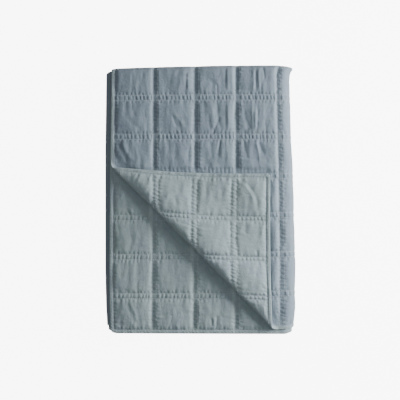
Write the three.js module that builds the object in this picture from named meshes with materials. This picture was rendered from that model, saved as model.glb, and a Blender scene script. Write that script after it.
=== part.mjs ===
import * as THREE from 'three';

// A quilted bedspread, folded in half twice along its length and twice across its width,
// with the corner of its top layer turned back. Millimetres, +Z up. The origin is the middle
// of the underside. +X points to the big side fold and +Y to the end with the folded edge.
//
// The bedspread is one sheet. A point of it has two lengths: "across", measured from its left
// hem over the width, and "down", measured from its bottom hem over the length. Two folded
// strips say where such a point lies in the stack.

const { clamp, lerp, smoothstep } = THREE.MathUtils;

// The cloth and its folded stack
const CLOTH = 3;
const LAYER_GAP = 0.5;
const LAYER_PITCH = CLOTH + LAYER_GAP;
const PLY_PITCH = 4 * LAYER_PITCH;
const HALF_STACK = (4 * PLY_PITCH - LAYER_GAP) / 2;
const RIGHT = 227.5;
const LEFT = -233.5;
const TOP = 321.5;
const BOTTOM = -324;

// The left hems lie inside the folds below them, and the top layer's bottom hem is the shorter
const TOP_HEM_X = -216.8;
const LOWER_HEM_X = -218.5;
const TOP_HEM_Y = -312;
const SECOND_HEM_Y = -323.4;
const HEM = 8.6;
const HEM_STITCH_HALF = 1.5;
const CORNER_ROUNDING = 8;

// The quilting: a grid of double stitched rows, and what the filling stands up between them
const CELL_WIDTH = 99;
const CELL_LENGTH = 94.1;
const FIRST_ROW_Y = -225.6;
const FIRST_SECOND_LAYER_ROW_Y = -232.3;
const LAST_COLUMN_X = 194.5;
const ROWS_HALF = 6.5;
const PUFF = 2.5;
const PUFF_RISE = 15.5;
const FULL_AT = 21.7;
const HEM_SWELL = 0.3;

// The second layer lies askew: its bottom left corner is this much further left
const SECOND_LAYER_SKEW = 5;

// The turned corner rolls over a line at 45 degrees, whose points have this sum of x and y.
// The roll's section is half an oval. It is largest in its middle, where it also bows inward and
// takes up some more cloth, and the flap behind it is drawn out by as much. The flap comes down
// to its rest height, and its top edge sags and drops out of level towards its free corner.
const ROLL_EDGE_SUM = -135;
const ROLL_RADIUS_ENDS = 6.5;
const ROLL_RADIUS_MIDDLE = 10;
const ROLL_WIDE = 1.6;
const ROLL_TALL = 1.12;
const ROLL_BOW = 3.5;
const ROLL_BOW_REACH = 75;
const ROLL_TAKES = 10;
const FLAP_LENGTH = 240;
const ROLL_MIDDLE = { x: -10, y: -125 };
const ROLL_HALF_LENGTH = 270;
const ROLL_CUTS = 7;
const FLAP_REST = 6.1;
const FLAP_SETTLES = 110;
const FLAP_DROP = 10.9;
const FLAP_SAG = 3.6;

// Distances past the roll's edge over which the puffs come and go beside it
const TOP_FLATTENS = { from: -40, to: -17 };
const FLAP_SWELLS = { from: 8, to: 36 };
const SECOND_SWELLS = { from: 4, to: 19.5 };

// Where the outline runs out of true: the place of the edge along each side
const RIGHT_EDGE = [
  { y: -321, x: 225 },
  { y: -264, x: 228 },
  { y: -150, x: 228.5 },
  { y: 60, x: 223 },
  { y: 180, x: 217.5 },
  { y: 300, x: 214.5 },
  { y: 321, x: 217.5 },
];
const LEFT_EDGE = [
  { y: -321, x: -228.5 },
  { y: -264, x: -231.5 },
  { y: -180, x: -233.5 },
  { y: 120, x: -233.5 },
  { y: 190, x: -232.5 },
  { y: 321, x: -231 },
];
const TOP_EDGE = [
  { x: -233, y: 310 },
  { x: -208, y: 315.5 },
  { x: -112, y: 318.5 },
  { x: 70, y: 322 },
  { x: 190, y: 322.5 },
  { x: 227, y: 318.5 },
];
const BOTTOM_EDGE = [
  { x: -233, y: -318 },
  { x: -205, y: -323.5 },
  { x: 205, y: -324.5 },
  { x: 227, y: -319.5 },
];
const SIDE_REACH = 167;
const END_REACH = 125;
const MOST_SHARE = 1.1;
const TALLER_TO_RIGHT = 0.03;
const SIDES_SAG = 0.04;
const ENDS_SAG = 0.04;

// Flat steps round each bend: the outer wrap, the fold at the other end, and the inner fold
const SIDE_STEPS = { wrap: 6, near: 4, inner: 3 };
const END_STEPS = { wrap: 4, near: 3, inner: 2 };
const SLIVER = 0.6;

// Strips of the folded section

// A strip folded in half twice, seen on its edge: four flat runs, one above another, and three
// round bends. The first bend wraps round the third one. Heights are from the stack's middle.
class FoldedStrip {
  constructor({ start, far, near, end, pitch, steps }) {
    const up = Math.PI / 2;
    const wide = 1.5 * pitch;
    const tight = 0.5 * pitch;
    this.pieces = [
      { from: start, to: far, level: wide },
      { from: up, to: -up, centre: far, level: 0, radius: wide, steps: steps.wrap },
      { from: far, to: near, level: -wide },
      { from: 3 * up, to: up, centre: near, level: -pitch, radius: tight, steps: steps.near },
      { from: near, to: far, level: -tight },
      { from: -up, to: up, centre: far, level: 0, radius: tight, steps: steps.inner },
      { from: far, to: end, level: tight },
    ];
    this.length = 0;
    for (const piece of this.pieces) {
      piece.start = this.length;
      this.length += piece.radius ? Math.PI * piece.radius : Math.abs(piece.to - piece.from);
      piece.end = this.length;
    }
  }

  pieceAt(length) {
    return this.pieces.find((piece) => length <= piece.end) ?? this.pieces.at(-1);
  }

  // The place and the face's direction at a length along the strip
  at(length) {
    const piece = this.pieceAt(length);
    const share = (length - piece.start) / (piece.end - piece.start);
    const value = lerp(piece.from, piece.to, share);
    if (!piece.radius) {
      const heading = Math.sign(piece.to - piece.from);
      return { place: value, height: piece.level, outPlace: 0, outHeight: heading };
    }
    const out = piece.to < piece.from ? 1 : -1;
    return {
      place: piece.centre + piece.radius * Math.cos(value),
      height: piece.level + piece.radius * Math.sin(value),
      outPlace: out * Math.cos(value),
      outHeight: out * Math.sin(value),
    };
  }

  // The length at which a run passes a place
  lengthAt(run, place) {
    const piece = this.pieces[2 * run];
    return piece.start + Math.abs(place - piece.from);
  }

  // Mesh lines: the same places on every run, and even steps round the bends
  lines(places) {
    const lines = [0];
    for (const [index, piece] of this.pieces.entries()) {
      if (piece.radius) {
        for (let step = 1; step < piece.steps; step += 1) {
          lines.push(lerp(piece.start, piece.end, step / piece.steps));
        }
      } else {
        const low = Math.min(piece.from, piece.to);
        const high = Math.max(piece.from, piece.to);
        const inside = places.filter((place) => place > low + 1 && place < high - 1);
        lines.push(...inside.map((place) => this.lengthAt(index / 2, place)));
      }
      lines.push(piece.end);
    }
    return lines.sort((a, b) => a - b);
  }
}

const across = new FoldedStrip({
  start: TOP_HEM_X,
  far: RIGHT - HALF_STACK,
  near: LEFT + PLY_PITCH - LAYER_GAP / 2,
  end: LOWER_HEM_X,
  pitch: PLY_PITCH,
  steps: SIDE_STEPS,
});
const down = new FoldedStrip({
  start: TOP_HEM_Y,
  far: TOP - 2 * LAYER_PITCH + LAYER_GAP / 2,
  near: BOTTOM + LAYER_PITCH - LAYER_GAP / 2,
  end: SECOND_HEM_Y,
  pitch: LAYER_PITCH,
  steps: END_STEPS,
});
const TOP_RUN_ENDS_ACROSS = across.pieces[0].end;
const TOP_RUN_ENDS_DOWN = down.pieces[0].end;
const WRAP_ENDS_ACROSS = across.pieces[1].end;
const WRAP_ENDS_DOWN = down.pieces[1].end;
const SECOND_LAYER_STARTS = down.pieces[6].start;

// Quilting

// Seams by their length on the strip: hems have one row of stitches, the grid has double rows
function seam(at, half) {
  return { at, half, first: at - half, last: at + half };
}

function everyCell(firstPlace, pitch, low, high) {
  const places = [];
  for (let place = firstPlace; place < high; place += pitch) {
    if (place > low) places.push(place);
  }
  return places;
}

const columnPlaces = [
  ...everyCell(TOP_HEM_X + HEM + CELL_WIDTH, CELL_WIDTH, LEFT, LAST_COLUMN_X - CELL_WIDTH),
  LAST_COLUMN_X,
];
const rowPlaces = everyCell(FIRST_ROW_Y, CELL_LENGTH, BOTTOM, TOP);
const secondRowPlaces = everyCell(FIRST_SECOND_LAYER_ROW_Y, CELL_LENGTH, BOTTOM, TOP);

const seamsAcross = [
  seam(HEM, HEM_STITCH_HALF),
  ...columnPlaces.map((x) => seam(across.lengthAt(0, x), ROWS_HALF)),
];
const seamsDown = [
  seam(HEM, HEM_STITCH_HALF),
  ...rowPlaces.map((y) => seam(down.lengthAt(0, y), ROWS_HALF)),
  ...secondRowPlaces.map((y) => seam(down.lengthAt(3, y), ROWS_HALF)),
  seam(down.length - HEM, HEM_STITCH_HALF),
];

// How far the filling stands up at a length, from 0 at a seam to 1 inside a cell
function swell(length, seams, stripLength) {
  const fromHem = Math.min(length, stripLength - length);
  if (fromHem < HEM - HEM_STITCH_HALF) return HEM_SWELL;
  const gap = Math.min(...seams.map((row) => Math.abs(length - row.at) - row.half));
  const share = clamp(gap / FULL_AT, 0, 1);
  return Math.sqrt(1 - (1 - share) ** 2);
}

// The corner turned back

// From 0 at the ends of the roll to 1 in its middle
function midRoll(x, y) {
  const fromMiddle = ((x - ROLL_MIDDLE.x) - (y - ROLL_MIDDLE.y)) / Math.SQRT2;
  return Math.cos(clamp(fromMiddle / ROLL_HALF_LENGTH, -1, 1) * Math.PI / 2);
}

// The way round half an oval with these half axes
const halfOval = (a, b) => Math.PI / 2 * (3 * (a + b) - Math.sqrt((3 * a + b) * (a + 3 * b)));

// How far a place of the flat top layer is past the outer edge of the roll
const pastRollEdge = (x, y) => (ROLL_EDGE_SUM - x - y) / Math.SQRT2;

// A point of the top layer. Past the start of the roll it goes round and comes to lie upside
// down on the layer that it was cut from. Heights are from the middle of the flat top layer.
function turnBack(x, y, offset) {
  const middle = midRoll(x, y);
  const radius = lerp(ROLL_RADIUS_ENDS, ROLL_RADIUS_MIDDLE, middle);
  const [wide, tall] = [ROLL_WIDE * radius, ROLL_TALL * radius];
  const taken = ROLL_TAKES * middle;
  const round = halfOval(wide, tall) + taken;
  const past = Math.max(0, pastRollEdge(x, y) + wide);
  const angle = Math.min(past / round, 1) * Math.PI;
  const beyond = Math.max(0, past - round);
  const [sine, cosine] = [Math.sin(angle), Math.cos(angle)];
  const outward = offset / Math.hypot(tall * sine, wide * cosine);
  const inward = outward * tall * sine - wide * sine + beyond * (1 + taken / FLAP_LENGTH);
  const bowed = ROLL_BOW * middle * smoothstep(pastRollEdge(x, y), -ROLL_BOW_REACH, -wide)
    * (1 - smoothstep(beyond, 0, ROLL_BOW_REACH));
  const farCorner = (TOP_HEM_Y + TOP_HEM_X - ROLL_EDGE_SUM) / -Math.SQRT2;
  const toCorner = beyond / farCorner;
  const lowered = smoothstep(beyond, 0, FLAP_SETTLES) * (2 * tall - FLAP_REST);
  return {
    x: x + (past + inward + bowed) / Math.SQRT2,
    y: y + (past + inward + bowed) / Math.SQRT2
      - FLAP_DROP * toCorner - FLAP_SAG * Math.sin(Math.min(toCorner, 1) * Math.PI),
    height: tall - tall * cosine + outward * wide * cosine - lowered,
  };
}

// How much of a face shows at a point, from 0 where it is covered to 1 where it is open
function showing(acrossLength, downLength, isFace) {
  const x = across.at(acrossLength).place;
  const y = down.at(downLength).place;
  const onTopRun = acrossLength <= TOP_RUN_ENDS_ACROSS;
  const past = pastRollEdge(x, y);
  const inRoll = onTopRun && downLength <= TOP_RUN_ENDS_DOWN;
  if (isFace) {
    const side = 1 - smoothstep(acrossLength, TOP_RUN_ENDS_ACROSS, WRAP_ENDS_ACROSS);
    const end = 1 - smoothstep(downLength, TOP_RUN_ENDS_DOWN, WRAP_ENDS_DOWN);
    const open = inRoll ? 1 - smoothstep(past, TOP_FLATTENS.from, TOP_FLATTENS.to) : 1;
    return side * end * open;
  }
  if (inRoll) return smoothstep(past, FLAP_SWELLS.from, FLAP_SWELLS.to);
  const onSecondLayer = onTopRun && downLength >= SECOND_LAYER_STARTS;
  return onSecondLayer ? smoothstep(past, SECOND_SWELLS.from, SECOND_SWELLS.to) : 0;
}

// The settled shape

// Straight lines between the rows of a table
function edgeAt(table, key, value, at) {
  const last = table.length - 1;
  const place = clamp(at, table[0][key], table[last][key]);
  const next = clamp(table.findIndex((row) => row[key] >= place), 1, last);
  const low = table[next - 1];
  const high = table[next];
  return lerp(low[value], high[value], (place - low[key]) / (high[key] - low[key]));
}

// How strongly a place follows an edge: 1 at the edge and 0 out of its reach
const pulledBy = (gap, reach) => clamp(1 - gap / reach, 0, MOST_SHARE) ** 2;

// The whole stack is out of true: its edges follow the tables, and it sags to its sides
function settle({ x, y, z }) {
  const right = pulledBy(RIGHT - x, SIDE_REACH);
  const left = pulledBy(x - LEFT, SIDE_REACH);
  const top = pulledBy(TOP - y, END_REACH);
  const bottom = pulledBy(y - BOTTOM, END_REACH);
  const shiftX = right * (edgeAt(RIGHT_EDGE, 'y', 'x', y) - RIGHT)
    + left * (edgeAt(LEFT_EDGE, 'y', 'x', y) - LEFT);
  const shiftY = top * (edgeAt(TOP_EDGE, 'x', 'y', x) - TOP)
    + bottom * (edgeAt(BOTTOM_EDGE, 'x', 'y', x) - BOTTOM);
  const u = x / RIGHT;
  const v = y / TOP;
  const tall = 1 + TALLER_TO_RIGHT * u - SIDES_SAG * u * u - ENDS_SAG * v * v;
  return new THREE.Vector3(x + shiftX, y + shiftY, z * tall);
}

// The four corners of the sheet are a little round
function roundCorner(acrossLength, downLength) {
  const acrossEdge = acrossLength < across.length / 2 ? 0 : across.length;
  const downEdge = downLength < down.length / 2 ? 0 : down.length;
  const a = CORNER_ROUNDING - Math.abs(acrossLength - acrossEdge);
  const b = CORNER_ROUNDING - Math.abs(downLength - downEdge);
  if (a <= 0 || b <= 0) return [acrossLength, downLength];
  const pull = 1 - Math.max(a, b) / Math.hypot(a, b);
  const inAcross = acrossEdge === 0 ? 1 : -1;
  const inDown = downEdge === 0 ? 1 : -1;
  return [acrossLength + inAcross * pull * a, downLength + inDown * pull * b];
}

// How far askew a place is: 0 at the second layer's folds and 1 at its bottom left corner
function skewShare(acrossLength, downLength) {
  const toLeft = 1 - acrossLength / TOP_RUN_ENDS_ACROSS;
  const toBottom = (downLength - SECOND_LAYER_STARTS) / (down.length - SECOND_LAYER_STARTS);
  return Math.max(0, toLeft) * Math.max(0, toBottom);
}

// Where a point of the sheet's face or reverse lies in the folded bedspread
function placePoint(flatAcross, flatDown, isFace) {
  const [acrossLength, downLength] = roundCorner(flatAcross, flatDown);
  const swollen = swell(acrossLength, seamsAcross, across.length)
    * swell(downLength, seamsDown, down.length);
  const thickness = CLOTH / 2 + PUFF * swollen * showing(acrossLength, downLength, isFace);
  const offset = isFace ? thickness : -thickness;
  const width = across.at(acrossLength);
  const length = down.at(downLength);
  const skew = SECOND_LAYER_SKEW * skewShare(acrossLength, downLength);
  if (acrossLength <= TOP_RUN_ENDS_ACROSS && downLength <= TOP_RUN_ENDS_DOWN) {
    const turned = turnBack(width.place, length.place, offset);
    const z = HALF_STACK + width.height + length.height + turned.height;
    return settle({ x: turned.x, y: turned.y, z });
  }
  const rise = length.height + offset * length.outHeight;
  return settle({
    x: width.place - skew + rise * width.outPlace,
    y: length.place + offset * length.outPlace,
    z: HALF_STACK + width.height + rise * width.outHeight,
  });
}

// Mesh of one side of the sheet, as flat polygons of [across, down] points

function middles(places) {
  return places.slice(1).map((place, index) => (place + places[index]) / 2);
}

const columnMiddles = middles([TOP_HEM_X + HEM, ...columnPlaces]);
const rowMiddles = middles([TOP_HEM_Y + HEM, ...rowPlaces]);
const coarseAcross = across.lines(columnMiddles);
const coarseDown = down.lines(rowMiddles);

function seamLines(seams, first, last) {
  const lines = seams.flatMap((row) => [
    row.first - PUFF_RISE, row.first, row.last, row.last + PUFF_RISE]);
  return lines.filter((line) => line > first + 1 && line < last - 1);
}

// Cells that show, or that the roll crosses, get the seams' own lines as well
function needsSeams(acrossLength, downLength, isFace) {
  if (isFace) return acrossLength < WRAP_ENDS_ACROSS && downLength < WRAP_ENDS_DOWN;
  const place = pastRollEdge(across.at(acrossLength).place, down.at(downLength).place);
  const halfCell = (CELL_WIDTH + CELL_LENGTH) / 2 / Math.SQRT2;
  const nearRoll = place > -halfCell - ROLL_WIDE * ROLL_RADIUS_MIDDLE;
  const layerShows = downLength < TOP_RUN_ENDS_DOWN || downLength > SECOND_LAYER_STARTS;
  return nearRoll && layerShows && acrossLength < TOP_RUN_ENDS_ACROSS;
}

// Cuts convex polygons along a line parallel to the roll
function cutAlongRoll(polygons, distance) {
  const past = ([a, d]) => {
    const value = pastRollEdge(across.at(a).place, down.at(d).place) - distance;
    return Math.abs(value) < SLIVER ? 0 : value;
  };
  return polygons.flatMap((polygon) => {
    const sides = polygon.map(past);
    if (!(Math.min(...sides) < 0 && Math.max(...sides) > 0)) return [polygon];
    const inside = [];
    const outside = [];
    polygon.forEach((point, index) => {
      const next = (index + 1) % polygon.length;
      if (sides[index] <= 0) inside.push(point);
      if (sides[index] >= 0) outside.push(point);
      if (sides[index] * sides[next] < 0) {
        const share = sides[index] / (sides[index] - sides[next]);
        const cut = point.map((value, axis) => lerp(value, polygon[next][axis], share));
        inside.push(cut);
        outside.push(cut);
      }
    });
    return [inside, outside];
  });
}

const rollHalfWidth = ROLL_WIDE * ROLL_RADIUS_MIDDLE;
const rollRound = halfOval(rollHalfWidth, ROLL_TALL * ROLL_RADIUS_MIDDLE) + ROLL_TAKES;
const rollCuts = Array.from({ length: ROLL_CUTS }, (_, index) => (
  index / (ROLL_CUTS - 1) * rollRound - rollHalfWidth));

// The top layer is cut where it rolls, and the layer below where it comes out from the roll
function cutsOn(right, low, high, isFace) {
  if (right > TOP_RUN_ENDS_ACROSS) return [];
  if (high <= TOP_RUN_ENDS_DOWN) return rollCuts;
  return !isFace && low >= SECOND_LAYER_STARTS ? [SECOND_SWELLS.from] : [];
}

function sidePolygons(isFace) {
  const polygons = [];
  for (let i = 1; i < coarseAcross.length; i += 1) {
    for (let j = 1; j < coarseDown.length; j += 1) {
      const [a0, a1] = coarseAcross.slice(i - 1, i + 1);
      const [d0, d1] = coarseDown.slice(j - 1, j + 1);
      const fine = needsSeams((a0 + a1) / 2, (d0 + d1) / 2, isFace);
      const as = fine ? [a0, ...seamLines(seamsAcross, a0, a1), a1] : [a0, a1];
      const ds = fine ? [d0, ...seamLines(seamsDown, d0, d1), d1] : [d0, d1];
      for (let k = 1; k < as.length; k += 1) {
        for (let m = 1; m < ds.length; m += 1) {
          const [left, right] = [as[k - 1], as[k]];
          const [low, high] = [ds[m - 1], ds[m]];
          let pieces = [[[left, low], [right, low], [right, high], [left, high]]];
          for (const distance of cutsOn(right, low, high, isFace)) {
            pieces = cutAlongRoll(pieces, distance);
          }
          polygons.push(...pieces);
        }
      }
    }
  }
  return polygons;
}

const keyOf = ([a, d]) => `${a.toFixed(4)},${d.toFixed(4)}`;

function onRim([a, d]) {
  const near = (value, edge) => Math.abs(value - edge) < 1e-6;
  return near(a, 0) || near(a, across.length) || near(d, 0) || near(d, down.length);
}

function uniquePoints(polygons) {
  const points = new Map();
  for (const point of polygons.flat()) points.set(keyOf(point), point);
  return [...points.values()];
}

// Adds to each polygon the points of its neighbours that lie on its edges
function joinEdges(polygons, points) {
  const within = (value, a, b) => value > Math.min(a, b) - 1e-6 && value < Math.max(a, b) + 1e-6;
  return polygons.map((polygon) => polygon.flatMap((start, index) => {
    const end = polygon[(index + 1) % polygon.length];
    const run = [end[0] - start[0], end[1] - start[1]];
    const length = Math.hypot(...run);
    const share = ([a, d]) => ((a - start[0]) * run[0] + (d - start[1]) * run[1]) / length ** 2;
    const between = points.filter(([a, d]) => {
      if (!within(a, start[0], end[0]) || !within(d, start[1], end[1])) return false;
      const away = Math.abs((a - start[0]) * run[1] - (d - start[1]) * run[0]) / length;
      return away < 1e-5 && share([a, d]) * length > 1e-3 && (1 - share([a, d])) * length > 1e-3;
    });
    return [start, ...between.sort((p, q) => share(p) - share(q))];
  }));
}

// The whole sheet: its face, its reverse and the rim between them

class SheetMesh {
  constructor() {
    this.positions = [];
    this.triangles = [];
    this.indices = new Map();
  }

  vertex(point, isFace) {
    const key = `${isFace} ${keyOf(point)}`;
    if (!this.indices.has(key)) {
      this.indices.set(key, this.positions.length / 3);
      this.positions.push(...placePoint(point[0], point[1], isFace).toArray());
    }
    return this.indices.get(key);
  }

  triangle(a, b, c, isFace) {
    this.triangles.push(...(isFace ? [a, b, c] : [a, c, b]));
  }

  // A flat quad is cut along the diagonal that runs up to the right, on every layer alike
  polygon(points, isFace) {
    const corners = points.map((point) => this.vertex(point, isFace));
    if (corners.length === 3) {
      this.triangle(...corners, isFace);
      return;
    }
    if (corners.length === 4) {
      const flip = this.runsUpRight(corners) ? 0 : 1;
      const [a, b, c, d] = [0, 1, 2, 3].map((index) => corners[(index + flip) % 4]);
      this.triangle(a, b, c, isFace);
      this.triangle(a, c, d, isFace);
      return;
    }
    const total = points.reduce((sum, point) => [sum[0] + point[0], sum[1] + point[1]]);
    const centre = this.vertex(total.map((value) => value / points.length), isFace);
    corners.forEach((corner, index) => {
      this.triangle(centre, corner, corners[(index + 1) % corners.length], isFace);
    });
  }

  runsUpRight(corners) {
    const [x, y] = [0, 1].map((axis) => corners.map((corner) => this.positions[3 * corner + axis]));
    const sums = corners.map((_, index) => x[index] + y[index]);
    return Math.abs(sums[0] - sums[2]) >= Math.abs(sums[1] - sums[3]);
  }

  rim(polygons) {
    const edges = new Map();
    for (const polygon of polygons) {
      polygon.forEach((start, index) => {
        const end = polygon[(index + 1) % polygon.length];
        edges.set(`${keyOf(start)} ${keyOf(end)}`, [start, end]);
      });
    }
    for (const [start, end] of edges.values()) {
      if (!edges.has(`${keyOf(end)} ${keyOf(start)}`)) {
        const face = [this.vertex(start, true), this.vertex(end, true)];
        const reverse = [this.vertex(start, false), this.vertex(end, false)];
        this.triangle(face[1], face[0], reverse[0], true);
        this.triangle(face[1], reverse[0], reverse[1], true);
      }
    }
  }

  geometry() {
    const geometry = new THREE.BufferGeometry();
    geometry.setAttribute('position', new THREE.Float32BufferAttribute(this.positions, 3));
    geometry.setIndex(this.triangles);
    geometry.computeVertexNormals();
    return geometry;
  }
}

function bedspreadGeometry() {
  const facePolygons = sidePolygons(true);
  const reversePolygons = sidePolygons(false);
  const facePoints = uniquePoints(facePolygons);
  const reversePoints = uniquePoints(reversePolygons);
  const face = joinEdges(facePolygons, [...facePoints, ...reversePoints.filter(onRim)]);
  const reverse = joinEdges(reversePolygons, [...reversePoints, ...facePoints.filter(onRim)]);
  const mesh = new SheetMesh();
  for (const polygon of face) mesh.polygon(polygon, true);
  for (const polygon of reverse) mesh.polygon(polygon, false);
  mesh.rim(face);
  return mesh.geometry();
}

const cloth = new THREE.MeshStandardMaterial({ color: 0x82919b, roughness: 0.92, metalness: 0 });
const bedspread = new THREE.Mesh(bedspreadGeometry(), cloth);
bedspread.name = 'bedspread';

const part = new THREE.Group();
part.add(bedspread);

export default part;
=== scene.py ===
# %% [markdown]
# # A folded quilted bedspread
#
# The real bedspread is one big sheet: a face cloth, a thin filling and a backing, joined all over
# by double rows of running stitches. It is folded in half twice along its length and twice across
# its width, and one corner of the top layer is turned back, so that the backing shows.
#
# This lesson makes it the same way. A flat slab is cut into a grid, the quilting is worked into
# its two sides, and one function then folds every point into the stack. A cloth simulation could
# fold it too, but sixteen layers in close contact are slow to settle and never land in the places
# that the solid model has, so the fold is worked out instead.

# %% Load the frame
import math

import bmesh
import bpy
import numpy as np
from mathutils import Matrix, Vector


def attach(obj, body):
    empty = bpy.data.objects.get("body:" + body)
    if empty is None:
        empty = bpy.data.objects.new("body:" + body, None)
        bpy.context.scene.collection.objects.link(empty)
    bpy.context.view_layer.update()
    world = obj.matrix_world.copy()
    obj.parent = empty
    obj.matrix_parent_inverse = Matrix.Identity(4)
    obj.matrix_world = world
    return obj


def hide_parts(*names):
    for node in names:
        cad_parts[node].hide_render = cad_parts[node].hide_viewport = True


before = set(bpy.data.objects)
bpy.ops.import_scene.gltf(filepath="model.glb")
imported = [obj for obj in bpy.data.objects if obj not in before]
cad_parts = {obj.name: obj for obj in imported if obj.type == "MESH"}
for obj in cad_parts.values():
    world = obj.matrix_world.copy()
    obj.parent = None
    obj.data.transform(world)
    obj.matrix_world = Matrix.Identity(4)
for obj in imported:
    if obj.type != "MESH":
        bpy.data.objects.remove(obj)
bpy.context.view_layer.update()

MM = 0.001
print("nodes in the frame:", sorted(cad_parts))

# %% [markdown]
# ## The sheet and its fold
#
# The sizes are in millimetres, as a sewing plan gives them. Those of the cloth and the stack are
# the solid model's own. A point of the sheet has two lengths: "across" from its left hem and
# "down" from its bottom hem. Each length runs along a strip that is folded in half twice: four
# flat runs, one above another, and three round bends.

# %% Sizes of the cloth and the stack
CLOTH = 3.0
LAYER_GAP = 0.5
LAYER_PITCH = CLOTH + LAYER_GAP
PLY_PITCH = 4 * LAYER_PITCH
HALF_STACK = (4 * PLY_PITCH - LAYER_GAP) / 2
RIGHT = 227.5
LEFT = -233.5
TOP = 321.5
BOTTOM = -324
TOP_HEM_X = -216.8
LOWER_HEM_X = -218.5
TOP_HEM_Y = -312
SECOND_HEM_Y = -323.4
HEM = 8.6
CORNER_ROUNDING = 8
CELL_WIDTH = 99
CELL_LENGTH = 94.1
FIRST_ROW_Y = -225.6
FIRST_SECOND_LAYER_ROW_Y = -232.3
LAST_COLUMN_X = 194.5


def smoothstep(value, low, high):
    share = np.clip((value - low) / (high - low), 0, 1)
    return share * share * (3 - 2 * share)


def mix(low, high, share):
    return low + (high - low) * share


# %% A strip folded in half twice
class FoldedStrip:
    """Four flat runs and three round bends, seen on their edge. Heights are from the middle."""

    def __init__(self, start, far, near, end, pitch):
        up = math.pi / 2
        wide, tight = 1.5 * pitch, 0.5 * pitch
        # Rows of: first and last place or angle, level, bend's radius, bend's centre
        rows = [
            (start, far, wide, 0, 0),
            (up, -up, 0, wide, far),
            (far, near, -wide, 0, 0),
            (3 * up, up, -pitch, tight, near),
            (near, far, -tight, 0, 0),
            (-up, up, 0, tight, far),
            (far, end, tight, 0, 0),
        ]
        self.first, self.last, self.level, self.radius, self.centre = np.array(rows).T
        run = np.abs(self.last - self.first)
        self.run = np.where(self.radius > 0, run * self.radius, run)
        self.end = np.cumsum(self.run)
        self.start = self.end - self.run
        self.length = self.end[-1]

    def at(self, length):
        """The place, the height, and the face's direction as its place and height parts."""
        piece = np.clip(np.searchsorted(self.start, length, side="right") - 1, 0, 6)
        share = (length - self.start[piece]) / self.run[piece]
        value = mix(self.first[piece], self.last[piece], share)
        heading = np.sign(self.last - self.first)[piece]
        radius = self.radius[piece]
        bent = radius > 0
        place = np.where(bent, self.centre[piece] + radius * np.cos(value), value)
        height = self.level[piece] + radius * np.sin(value)
        out_place = np.where(bent, -heading * np.cos(value), 0)
        out_height = np.where(bent, -heading * np.sin(value), heading)
        return place, height, out_place, out_height

    def length_at(self, run, place):
        piece = 2 * run
        return self.start[piece] + abs(place - self.first[piece])


across_strip = FoldedStrip(
    start=TOP_HEM_X,
    far=RIGHT - HALF_STACK,
    near=LEFT + PLY_PITCH - LAYER_GAP / 2,
    end=LOWER_HEM_X,
    pitch=PLY_PITCH,
)
down_strip = FoldedStrip(
    start=TOP_HEM_Y,
    far=TOP - 2 * LAYER_PITCH + LAYER_GAP / 2,
    near=BOTTOM + LAYER_PITCH - LAYER_GAP / 2,
    end=SECOND_HEM_Y,
    pitch=LAYER_PITCH,
)
WIDTH, LENGTH = across_strip.length, down_strip.length
TOP_RUN_ACROSS, SIDE_WRAP_ENDS = across_strip.end[:2]
TOP_RUN_DOWN, END_WRAP_ENDS = down_strip.end[:2]
SECOND_LAYER_STARTS = down_strip.start[6]
print(f"the sheet is {WIDTH:.0f} by {LENGTH:.0f} mm flat")

# %% [markdown]
# ## The corner turned back
#
# The corner rolls over a line at 45 degrees. Before the roll the cloth is flat, and past it the
# cloth lies upside down on the layer that it was cut from. The roll is tall up to its outermost
# line and low from there on, so its edge is crisp and near its top. The solid model has an even
# half oval there. A real roll is open in its middle and tight at its ends, so its size changes
# along the line, and its middle takes up more cloth. Half a circle would be simpler, but quilted
# cloth folds to a flatter loop.

# %% Turn the corner back
ROLL_EDGE_SUM = -135
ROLL_RADIUS_ENDS = 6.5
ROLL_RADIUS_MIDDLE = 10
ROLL_WIDE = 1.6
ROLL_LOW = 1.8
ROLL_HIGH = 0.44
ROLL_BOW = 3.5
ROLL_BOW_REACH = 75
ROLL_TAKES = 10
ROLL_SAMPLES = 241
FLAP_LENGTH = 240
ROLL_MIDDLE = (-10, -125)
ROLL_HALF_LENGTH = 270
FLAP_REST = 6.1
FLAP_SETTLES = 110
FLAP_DROP = 10.9
FLAP_SAG = 3.6
ROOT_2 = math.sqrt(2)


def past_roll_edge(x, y):
    """How far a place of the flat top layer is past the outer edge of the roll."""
    return (ROLL_EDGE_SUM - x - y) / ROOT_2


def mid_roll(x, y):
    """From 0 at the ends of the roll to 1 in its middle."""
    from_middle = ((x - ROLL_MIDDLE[0]) - (y - ROLL_MIDDLE[1])) / ROOT_2
    return np.cos(np.clip(from_middle / ROLL_HALF_LENGTH, -1, 1) * math.pi / 2)


def roll_rise(angle):
    """The roll is tall below its outermost line and low above it, in shares of its radius."""
    return np.where(angle < math.pi / 2, ROLL_LOW, ROLL_HIGH)


# The way round the roll up to each angle, for a radius of 1
roll_angles = np.linspace(0, math.pi, ROLL_SAMPLES)
roll_speeds = np.hypot(ROLL_WIDE * np.cos(roll_angles), roll_rise(roll_angles) * np.sin(roll_angles))
roll_steps = (roll_speeds[1:] + roll_speeds[:-1]) / 2 * np.diff(roll_angles)
roll_ways = np.concatenate([[0], np.cumsum(roll_steps)])


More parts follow.
